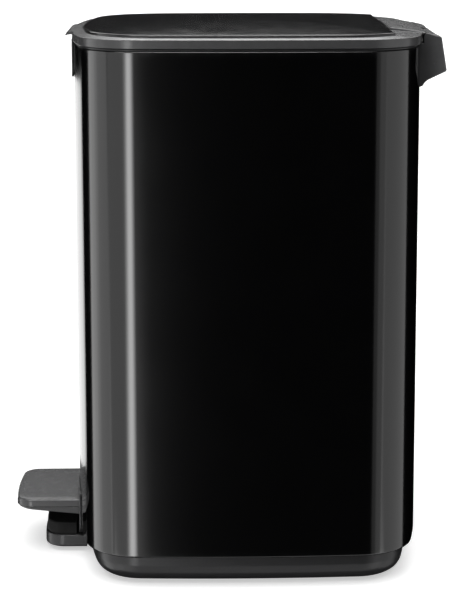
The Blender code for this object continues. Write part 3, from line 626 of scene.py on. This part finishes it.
def base_pan():
    """Moulded tray under the shell, with the posts that carry the pedal's axle."""
    low, wall = TRAY_BOTTOM, 2.8
    flange_bottom = SHELL_BOTTOM + SHEET + GAP
    flange_top, flange_inset = flange_bottom + 2.0, 1.9
    levels = [
        (TRAY_INSET + 12.0, low), (TRAY_INSET + 7.5, low + 0.9), (TRAY_INSET + 3.6, low + 3.6),
        (TRAY_INSET + 1.0, low + 7.8), (TRAY_INSET, low + 13.0), (TRAY_INSET, flange_bottom),
        (flange_inset, flange_bottom), (flange_inset, flange_top), (TRAY_INSET + wall, flange_top),
        (TRAY_INSET + wall, low + 13.0), (TRAY_INSET + 5.5, low + 6.5), (TRAY_INSET + 13.0, low + wall),
    ]
    radii = [0.0, 9.0, 9.0, 9.0, 9.0, 0.8, 0.3, 0.3, 0.6, 8.0, 8.0, 0.0]
    pan = loft("base_pan", rounded(plan_levels(levels), radii))
    posts = [block(f"post_{side}", (a, axle.y - 10.0, low + 1.5), (b, axle.y + 10.0, axle.z - 0.15))
             for side, a, b in (("left", -18.0, -10.8), ("right", 10.8, 18.0))]
    reach = bezel_high.x - 1.2
    slot = block("slot", (-reach, FRONT_Y - 6.0, bezel_low.z - 0.8), (reach, FRONT_Y + 14.0, 40.0), 1.5)
    seat = bore("seat", -22.0, 22.0, 3.1, axle, "X", 32)
    holes = [bore(f"hole_{i}", -10.0, 10.0, 1.5, (x, axle.y + y, axle.z), "Z", 20)
             for i, (x, y) in enumerate([(-14.4, -7.0), (-14.4, 7.0), (14.4, -7.0), (14.4, 7.0)])]
    piece(carve(pan, posts, [slot, seat, *holes]), "dark_plastic", "bin_body", "base_tray")


def slot_bezel():
    """Frame round the pedal's slot, proud of the shell, with a sleeve through it."""
    half, low, high = bezel_high.x, bezel_low.z, bezel_high.z
    proud, depth_inside = -1.4, 3.0
    outer = rounded_rectangle((-half, low), (half, high), 8.0, 10, 10)
    inner = rounded_rectangle((4.0 - half, low + 1.6), (half - 4.0, high - 3.5), 5.0, 10, 10)
    sleeve = rounded_rectangle((1.9 - half, low + 0.1), (half - 1.9, high - 1.9), 6.6, 10, 10)

    def wrap(outline, depth):
        x, z = outline.T
        return np.c_[x, FRONT_Y + depth + end_bow(x, depth), z]

    loops = [wrap(outer, -GAP), wrap(outer, proud), wrap(inner, proud), wrap(inner, depth_inside),
             wrap(sleeve, depth_inside), wrap(sleeve, -GAP)]
    frame_loops = rounded(loops, [0.2, 0.55, 0.6, 0.3, 0.2, 0.0])
    piece(loft("slot_bezel", frame_loops, ring=True), "dark_plastic", "bin_body", "pedal_bezel")


def nose_outline(shrink, rear_y):
    """Plan of the block under the pedal: square at the rear, round at the front."""
    half, radius, bulge = nose_high.x - shrink, 15.0 - shrink, 0.6
    tip = nose_low.y + bulge + shrink
    bow = np.linspace(-1.0, 1.0, 11)[1:-1]
    front = np.c_[bow * (half - radius), tip - bulge * (1.0 - bow**2)]
    return np.concatenate([
        [(half, rear_y), (-half, rear_y)],
        arc((-half + radius, tip + radius), radius, 180, 270, 14),
        front,
        arc((half - radius, tip + radius), radius, 270, 360, 14),
    ])


def foot_block():
    """Block that the base sends forward under the pedal, and the soft stop on it, in black rubber that also
    paints in the shade the pedal casts there.
    """
    low, ledge, rear = nose_low.z, nose_high.z, nose_high.y
    loops = [at_height(nose_outline(s, rear), z) for s, z in
             ((5.0, low), (0.0, low), (0.0, ledge), (3.0, ledge))]
    piece(loft("base_block", rounded(loops, [0.0, 2.6, 0.8, 0.0], 5)),
          "dark_plastic", "bin_body", "base_nose")
    # The stop pad's black is partly its rubber and partly painted shade from the pedal above it.
    low, high = stop_low.z, stop_high.z
    loops = [at_height(nose_outline(s, stop_high.y), z) for s, z in
             ((4.0, low), (1.4, low), (1.4, high), (5.0, high))]
    piece(loft("stop_pad", rounded(loops, [0.0, 0.3, 1.5, 0.0], 5)),
          "rubber", "bin_body", "pedal_stop")


def feet_and_buffers():
    """Four rubber feet below the base, and four buffers that the lid closes on."""
    for end in ("front", "rear"):
        for side in ("left", "right"):
            low, high = span(f"foot_{end}_{side}")
            outlines = [rounded_rectangle((low.x + s, low.y + s), (high.x - s, high.y - s), 4.0 - s)
                        for s in (0.8, 0.0, 0.0, 1.0)]
            loops = [at_height(outline, z) for outline, z in zip(outlines, (low.z, low.z, high.z, high.z))]
            piece(loft(f"floor_pad_{end}_{side}", rounded(loops, [0.0, 0.5, 0.2, 0.0])),
                  "rubber", "bin_body", f"foot_{end}_{side}")
            buffer = f"lid_buffer_{end}_{side}"
            piece(block(f"buffer_{end}_{side}", *span(buffer), 0.45), "rubber", "bin_body", buffer)


def rim_collar():
    """Collar in the shell's mouth that carries the bucket, with its tongue over the shell's front."""
    bottom, flange = SHELL_TOP - 9.0, SHELL_TOP + GAP
    levels = [(0.6, 0.6, flange), (4.5, 4.5, flange), (4.5, 4.5, bottom), (6.4, 6.4, bottom),
              (6.4, 6.4, flange - 0.4), (8.3, 12.6, flange), (8.3, 12.6, RIM_TOP), (0.6, 0.6, RIM_TOP)]
    radii = [0.2, 0.2, 0.4, 0.4, 0.4, 0.3, 0.5, 0.6]
    collar = loft("rim_collar", rounded(plan_levels(levels), radii), ring=True)
    top = RIM_TOP - 0.3
    tongue = bowed_plate("tongue", 30.0, span("body_rim")[0].z, top, (-1.7, -GAP), (8.0, 0.0), 0.55)
    bridge = bowed_plate("bridge", 29.5, SHELL_TOP + GAP + 0.1, top - 0.1, (-1.2, 2.0), (0.0, 0.0), 0.15)
    rod_low, rod_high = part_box("push_rod")
    rod_place = (0.0, (rod_low.y + rod_high.y) / 2.0 / MM, 0.0)
    hole = bore("hole", bottom - 5.0, RIM_TOP + 5.0, 2.9, rod_place, "Z", 32)
    piece(carve(collar, [tongue, bridge], [hole]), "dark_plastic", "bin_body", "body_rim")


def block_half_width(y):
    """Half width of the hinge block, which widens to the rear."""
    return BLOCK_FRONT_HALF + (y - PANEL_REAR_Y) * BLOCK_TAPER


def knuckle_outline(half):
    """Profile of a hinge knuckle that reaches half to each side, with a chamfer at its ends."""
    return [(-half, KNUCKLE_END_RADIUS), (KNUCKLE_CHAMFER - half, KNUCKLE_RADIUS),
            (half - KNUCKLE_CHAMFER, KNUCKLE_RADIUS), (half, KNUCKLE_END_RADIUS)]


def hinge_block():
    """Carrying grip behind the shell, whose cheeks and centre knuckle hold the hinge pin."""
    # From the foot round the rear to the top, then down a front that bulges clear of the lid's sweep.
    outline = [(136.0, -35.0), (140.8, -33.6), (142.0, -31.2), (144.0, -29.2), (156.4, -22.4),
               (157.0, -21.4), (153.4, 1.4), (152.6, 2.4), (149.7, 3.3), (142.8, 5.0), (141.7, 3.0),
               (141.1, 0.6)]
    profile = [(y, HINGE_Z + above) for y, above in outline]
    profile += [(141.1, SHELL_TOP + 0.2), (136.0, SHELL_TOP + 0.2)]
    radii = [0.3, 2.0, 3.0, 4.0, 1.0, 1.0, 1.4, 1.4, 6.0, 0.4, 2.0, 2.0, 0.2, 0.3]
    housing = side_prism("hinge_block", profile, block_half_width, radii, 1.0, 4)
    cavity_profile = [(134.0, 330.0), (154.0, 330.0), (154.0, HINGE_Z - 21.0), (151.2, WEB_BOTTOM),
                      (134.0, WEB_BOTTOM)]
    cavity = side_prism("cavity", cavity_profile, lambda y: block_half_width(y) - BLOCK_WALL,
                        [0.2, 0.2, 2.0, 2.5, 2.5], 1.5)
    clearing = block("clearing", (-CHEEK_INNER, 130.0, WEB_TOP), (CHEEK_INNER, 165.0, 400.0))
    body_cut = loft("body_cut", [at_height(plan(GAP), z) for z in (330.0, 388.5)])
    centre = CENTRE_KNUCKLE_HALF
    knuckle = turned("knuckle", [(-centre, 1.5), *knuckle_outline(centre), (centre, 1.5)], hinge, "X")
    support = block("support", (0.05 - centre, HINGE_Y - 2.6, WEB_TOP - 1.0),
                    (centre - 0.05, HINGE_Y + 2.6, HINGE_Z))
    screws = [(side, (x, 141.0, HOUSING_SCREW_Z)) for side, x in screw_places()]
    bosses = [bore(f"boss_{side}", -8.0, 13.5, 3.6, point, "Y", 32) for side, point in screws]
    holes = [bore(f"bore_{side}", -9.0, 10.0, 1.5, point, "Y", 24) for side, point in screws]
    carve(housing, cut=[cavity, clearing])
    carve(housing, [knuckle, support, *bosses])
    piece(carve(housing, cut=[body_cut, pin_bore(), *holes]), "grey_plastic", "bin_body", "hinge_housing")


def waste_bucket():
    """Lift-out bucket that hangs by its flange in the collar."""
    low, top = bucket_low.z, bucket_high.z
    flange, band, wall = top - 1.4, 8.0, BUCKET_WALL
    levels = [(32.0, 36.0, low), (24.0, 28.0, low + 1.6), (19.0, 23.0, low + 7.0), (17.5, 21.0, low + 14.0),
              (9.7, 13.6, flange - band), (9.5, 13.4, flange), (4.0, 11.7, flange), (4.0, 11.7, top),
              (9.5 + wall, 13.4 + wall, top), (9.7 + wall, 13.6 + wall, top - band),
              (17.5 + wall, 21.0 + wall, low + 14.0), (20.5 + wall, 24.5 + wall, low + 8.0),
              (32.0, 36.0, low + 2.4)]
    radii = [0.0, 12.0, 12.0, 12.0, 0.0, 0.4, 0.4, 0.5, 0.8, 0.0, 12.0, 12.0, 0.0]
    piece(loft("waste_bucket", rounded(plan_levels(levels), radii)),
          "bucket_plastic", "bin_body", "inner_bucket")


# ------------------------------------------------------------------ lid


def lid_ring():
    """Ring round the panel, with the finger lip in front and the hinge leaf behind."""
    over, inner, ledge = -RING_OVERHANG, 6.5, 14.0
    rear_cut = PANEL_REAR_Y + 0.8
    loops = plan_levels([(over + 2.0, DECK_BOTTOM), (over + 2.0, RING_BOTTOM), (over, RING_BOTTOM),
                         (over, RING_EDGE)])
    crest = plan(inner, corner=PANEL_CORNER_RADIUS + 1.0, rear_cut=rear_cut)
    hem = plan(ledge, corner=PANEL_CORNER_RADIUS - 6.0, rear_cut=rear_cut - 7.0)
    loops += [at_height(crest, RING_CREST), at_height(crest, LEDGE_TOP), at_height(hem, LEDGE_TOP),
              at_height(hem, DECK_BOTTOM)]
    ring = loft("lid_ring", rounded(loops, [0.2, 0.2, 0.5, 0.45, 0.4, 0.2, 0.0, 0.0]), ring=True)
    notch = block("notch", (-LID_KNUCKLE_INNER, HINGE_Y - 5.0, 370.0),
                  (LID_KNUCKLE_INNER, HINGE_Y + 10.0, 400.0))
    carve(ring, [finger_lip(), *hinge_leaf()])
    piece(carve(ring, cut=[notch, pin_bore()]), "grey_plastic", "lid", "lid_frame")


def lip_half_width(y):
    """Half width of the finger lip, which narrows towards its tip."""
    return LIP_HALF_WIDTH - 0.5 * np.maximum(0.0, FRONT_Y - y)


def finger_lip():
    """Blade that overhangs the front of the ring."""
    top = RING_EDGE
    profile = [(FRONT_Y + 3.0, top - 2.6), (FRONT_Y - 1.0, top - 2.4), (FRONT_Y - 3.4, top - 2.7),
               (FRONT_Y - 4.6, top - 3.4), (FRONT_Y - 4.9, top - 2.7), (FRONT_Y - 4.2, top - 1.3),
               (FRONT_Y - 2.6, top - 0.4), (FRONT_Y - 0.4, top - 0.05), (FRONT_Y + 3.0, top + 0.15)]
    radii = [0.0, 3.0, 3.0, 0.2, 0.3, 2.0, 3.0, 3.0, 0.0]
    return side_prism("lip", profile, lip_half_width, radii, 0.35)


def hinge_leaf():
    """Raised wedge behind the panel, and the tongue with the lid's knuckles."""
    front, foot = PANEL_REAR_Y + 0.9, DECK_BOTTOM + 0.2
    wedge_profile = [(front, foot), (141.2, foot), (142.3, HINGE_Z + 4.95), (136.3, HINGE_Z + 6.2),
                     (PANEL_REAR_Y + 2.0, HINGE_Z + 7.9), (front, HINGE_Z + 7.2)]
    wedge = side_prism("wedge", wedge_profile, block_half_width, [0.0, 0.2, 0.4, 6.0, 0.7, 0.5], 0.9, 4)
    tongue_profile = [(138.0, DECK_BOTTOM + 0.25), (144.0, DECK_BOTTOM - 0.6),
                      (HINGE_Y - 2.0, HINGE_Z + 0.6), (HINGE_Y, HINGE_Z + 0.6),
                      (HINGE_Y, HINGE_Z + KNUCKLE_RADIUS - 0.02), (141.2, HINGE_Z + 5.1),
                      (138.0, HINGE_Z + 5.6)]
    tongue = side_prism("tongue", tongue_profile, lambda y: LID_KNUCKLE_OUTER - 0.05, [0.0] * 7, 0.15)
    return wedge, tongue, turned("barrel", knuckle_outline(LID_KNUCKLE_OUTER), hinge, "X")


def domed_panel():
    """Domed sheet with a turned-down edge, straight at the rear."""
    outline = plan(7.4, corner=PANEL_CORNER_RADIUS, rear_cut=PANEL_REAR_Y)
    shares = [1.0 - step for step in (0.02, 0.06, 0.12, 0.2, 0.3, 0.42, 0.55, 0.68, 0.8, 0.9, 0.97)]
    foot, inner_share = LEDGE_TOP + GAP, 0.985

    def scaled(share, z):
        middle = np.array((0.0, CENTRE_Y))
        return at_height(middle + (outline - middle) * share, z)

    def dome(share):
        return PANEL_EDGE + (PANEL_CROWN - PANEL_EDGE) * (1.0 - share**2)

    above = [scaled(share, dome(share)) for share in reversed(shares)]
    edge = [scaled(1.0, PANEL_EDGE), scaled(1.0, foot), scaled(inner_share, foot),
            scaled(inner_share, PANEL_EDGE - 1.2)]
    below = [scaled(share, dome(share) - PANEL_THICKNESS) for share in shares[1:]]
    radii = [0.0] * len(above) + [1.5, 0.2, 0.1, 0.3] + [0.0] * len(below)
    piece(loft("domed_panel", rounded(above + edge + below, radii, 5)),
          "satin_black", "lid", "lid_panel")


def inner_lid():
    """Inner lid below the panel, with a rib that reaches into the bucket's mouth."""
    top = DECK_BOTTOM - GAP
    low, rib_low = top - 1.6, top - 6.0
    levels = [(40.0, low), (18.0, low), (18.0, rib_low), (16.4, rib_low), (16.0, low), (16.0, top),
              (40.0, top)]
    loops = [at_height(plan(inset, corner=42.0 - inset * 0.5, rear_cut=PANEL_REAR_Y + 14.0 - inset), z)
             for inset, z in levels]
    piece(loft("inner_lid", rounded(loops, [0.0, 0.8, 0.5, 0.5, 0.2, 0.3, 0.0])),
          "bucket_plastic", "lid", "lid_liner")


# ------------------------------------------------------------------ pedal


def pad_outline(shrink):
    """Plan of the pedal pad: round front corners and a slightly bowed tip."""
    bow = 1.2
    half, radius = PEDAL_HALF_WIDTH - shrink, PEDAL_CORNER_RADIUS - shrink
    tip, rear = PEDAL_TIP_Y + bow + shrink, PEDAL_REAR_Y - shrink
    left = arc((-half + radius, tip + radius), radius, 180, 262, 14)
    right = arc((half - radius, tip + radius), radius, 278, 360, 14)
    across = np.linspace(-1.0, 1.0, 15)[1:-1]
    start, crown = left[-1], tip - bow
    front = np.c_[across * abs(start[0]), crown + (start[1] - crown) * across**2]
    return np.concatenate([[(half, rear), (-half, rear)], left, front, right])


def foot_pad():
    """Hollow pedal cap: a deep upper band, a fine step, and a skirt that gets shallower towards the tip."""

    def skirt_loop(shrink):
        points = pad_outline(shrink)
        share = np.minimum(1.0, (points[:, 1] - PEDAL_TIP_Y) / (FRONT_Y - PEDAL_TIP_Y))
        return np.c_[points, PEDAL_TOP - 6.8 - 6.0 * share]

    inside = 3.2
    loops = [at_height(pad_outline(inside), PEDAL_CEILING), skirt_loop(inside), skirt_loop(1.2)]
    loops += [at_height(pad_outline(s), z) for s, z in
              ((0.9, PEDAL_TOP - 6.3), (0.0, PEDAL_TOP - 5.8), (0.0, PEDAL_TOP - 0.3), (6.0, PEDAL_TOP))]
    pad = loft("foot_pad", rounded(loops, [0.0, 0.3, 0.5, 0.3, 0.3, 2.4, 0.0], 5))
    passage = block("passage", (-12.0, PEDAL_REAR_Y - 5.0, 20.0),
                    (12.0, PEDAL_REAR_Y + 5.0, PEDAL_CEILING - 0.05))
    holes = [bore(f"hole_{side}", 30.0, PEDAL_TOP - 1.0, 1.3, (x, PEDAL_REAR_Y - 4.0, 0.0), "Z", 20)
             for side, x in (("left", -6.0), ("right", 6.0))]
    piece(carve(pad, cut=[passage, *holes]), "grey_plastic", "pedal", "pedal_pad")


# ------------------------------------------------------------------ studio


# Camera, in metres and radians. The photograph's parallel verticals would need more shift, which would
# push the object out of the frame in other views.
CAMERA_PLACE, CAMERA_YAW, CAMERA_PITCH = (1.427, -0.0204, 0.4998), 0.025, 0.165
SENSOR_MM, LENS_MM, SHIFT_X, SHIFT_Y = 36.0, 116.44, -0.027, -0.17

# Floor and backdrop, in metres. The floor lies just below the feet.
FLOOR_RADIUS, FLOOR_DROP, FLOOR_COLOUR, FLOOR_GLOW = 14.0, 0.0002, (0.9, 0.9, 0.9), 0.55
BACKDROP_RADIUS, BACKDROP_HEIGHT, BACKDROP_COLOUR, BACKDROP_GLOW = 13.9, 16.0, (1.0, 1.0, 1.0), 1.0
ROUND_STEPS = 96

# Even light. The world lights the object from all sides and isn't seen in its gloss.
WORLD_STRENGTH = 0.30
OVERHEAD_STRENGTH, OVERHEAD_ANGLE, OVERHEAD_FORWARD = 2.5, 65.0, (-0.18, 0.05, -1.0)

# Softboxes: name, azimuth and elevation in degrees, distance, width and height in metres, and radiance.
# Those that overlap add up, and each stands at its own distance. The strips make the shell's bright line.
TARGET = Vector((0.0, 0.016, 0.2))
SOFTBOXES = (
    ("strip_left_0", -20.3, -13.0, 2.2, 0.27, 1.3, 4.0),
    ("strip_left_1", -20.3, -13.0, 2.21, 0.42, 1.3, 4.0),
    ("strip_left_2", -20.3, -13.0, 2.22, 0.58, 1.3, 3.0),
    ("strip_left_3", -20.3, -13.0, 2.23, 0.77, 1.3, 1.3),
    ("panel_left", -44.0, -10.0, 2.4, 1.5, 4.0, 1.6),
    ("panel_front", -86.0, -10.0, 2.4, 2.14, 4.0, 2.2),
    ("panel_front_mid", -97.5, -10.0, 2.42, 1.06, 4.0, 0.6),
    ("panel_front_core", -100.0, -10.0, 2.44, 0.72, 4.0, 0.6),
    ("panel_right", 42.0, -10.0, 2.4, 0.85, 4.0, 0.5),
    ("panel_right_core", 45.0, -10.0, 2.41, 0.5, 4.0, 0.6),
    ("panel_rear", 78.0, -10.0, 2.4, 2.45, 4.0, 1.4),
    ("panel_far", 203.0, -11.3, 2.4, 1.3, 0.76, 1.4),
    ("floor_bounce", 0.0, -50.0, 2.0, 5.0, 1.2, 1.3),
    ("high_front", -12.0, 56.0, 2.4, 2.6, 2.6, 2.8),
    ("edge_line", -2.0, 60.0, 2.45, 0.8, 1.0, 16.0),
    ("hinge_line", -48.0, 60.0, 2.45, 0.5, 1.0, 14.0),
    ("back_high", 180.0, 31.0, 3.0, 3.0, 1.0, 3.0),
)


def aimed(name, data, location, forward):
    """A camera or light that looks along forward."""
    made = bpy.data.objects.new(name, data)
    made.location = location
    made.rotation_mode = "QUATERNION"
    made.rotation_quaternion = Vector(forward).to_track_quat("-Z", "Y")
    bpy.context.scene.collection.objects.link(made)
    return made


def toward(azimuth, elevation):
    """Direction from its azimuth, from +X towards +Y, and its elevation, in radians."""
    level = math.cos(elevation)
    return Vector((math.cos(azimuth) * level, math.sin(azimuth) * level, math.sin(elevation)))


def add_camera():
    """Camera in front of the long side, a little above the lid."""
    data = bpy.data.cameras.new("camera")
    data.sensor_width, data.lens = SENSOR_MM, LENS_MM
    data.shift_x, data.shift_y = SHIFT_X, SHIFT_Y
    forward = toward(math.pi - CAMERA_YAW, -CAMERA_PITCH)
    bpy.context.scene.camera = aimed("camera", data, CAMERA_PLACE, forward)


def softbox(name, azimuth, elevation, distance, width, height, radiance):
    """Lit panel that faces the object and is seen only in its gloss."""
    data = bpy.data.lights.new(name, "AREA")
    data.shape, data.size, data.size_y = "RECTANGLE", width, height
    data.energy = radiance * math.pi * width * height
    away = toward(math.radians(azimuth), math.radians(elevation))
    light = aimed(name, data, TARGET + away * distance, -away)
    light.visible_camera = light.visible_diffuse = False


def stage_mesh(name, build, colour, glow):
    """Part of the studio that glows evenly, seen by the camera alone."""
    mesh = bpy.data.meshes.new(name)
    build.to_mesh(mesh)
    build.free()
    surface = bpy.data.materials.new(name)
    surface.use_nodes = True
    shader = surface.node_tree.nodes["Principled BSDF"]
    for socket, value in (("Base Color", (*colour, 1.0)), ("Roughness", 0.9), ("Specular IOR Level", 0.0),
                          ("Emission Color", (*colour, 1.0)), ("Emission Strength", glow)):
        shader.inputs[socket].default_value = value
    mesh.materials.append(surface)
    made = bpy.data.objects.new(name, mesh)
    bpy.context.scene.collection.objects.link(made)
    made.visible_diffuse = made.visible_glossy = made.visible_shadow = False


def add_studio():
    """World, floor, backdrop and lights."""
    world = bpy.data.worlds.new("studio")
    world.use_nodes = True
    background = world.node_tree.nodes["Background"]
    background.inputs["Color"].default_value = (1.0, 1.0, 1.0, 1.0)
    background.inputs["Strength"].default_value = WORLD_STRENGTH
    bpy.context.scene.world = world
    world.cycles_visibility.glossy = False

    build = bmesh.new()
    bmesh.ops.create_circle(build, cap_ends=True, segments=ROUND_STEPS, radius=FLOOR_RADIUS)
    bmesh.ops.translate(build, verts=build.verts, vec=(0.0, 0.0, -FLOOR_DROP))
    stage_mesh("floor", build, FLOOR_COLOUR, FLOOR_GLOW)

    build = bmesh.new()
    bmesh.ops.create_cone(build, cap_ends=False, segments=ROUND_STEPS, radius1=BACKDROP_RADIUS,
                          radius2=BACKDROP_RADIUS, depth=BACKDROP_HEIGHT)
    stage_mesh("backdrop", build, BACKDROP_COLOUR, BACKDROP_GLOW)

    sun = bpy.data.lights.new("overhead", "SUN")
    sun.energy, sun.angle = OVERHEAD_STRENGTH, math.radians(OVERHEAD_ANGLE)
    aimed("overhead", sun, (0.0, 0.0, 0.0), OVERHEAD_FORWARD)
    for box in SOFTBOXES:
        softbox(*box)

    bpy.context.scene.view_settings.view_transform = "Standard"
    bpy.context.scene.view_settings.look = "None"


for make in (shell_skin, base_pan, slot_bezel, foot_block, feet_and_buffers, rim_collar, hinge_block,
             waste_bucket, lid_ring, domed_panel, inner_lid, foot_pad, add_camera, add_studio):
    make()

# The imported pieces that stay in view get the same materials.
for node in frame["nodes"].values():
    for material_slot in node.material_slots:
        material_slot.material = SURFACES[material_slot.material.name.split(".")[0]]
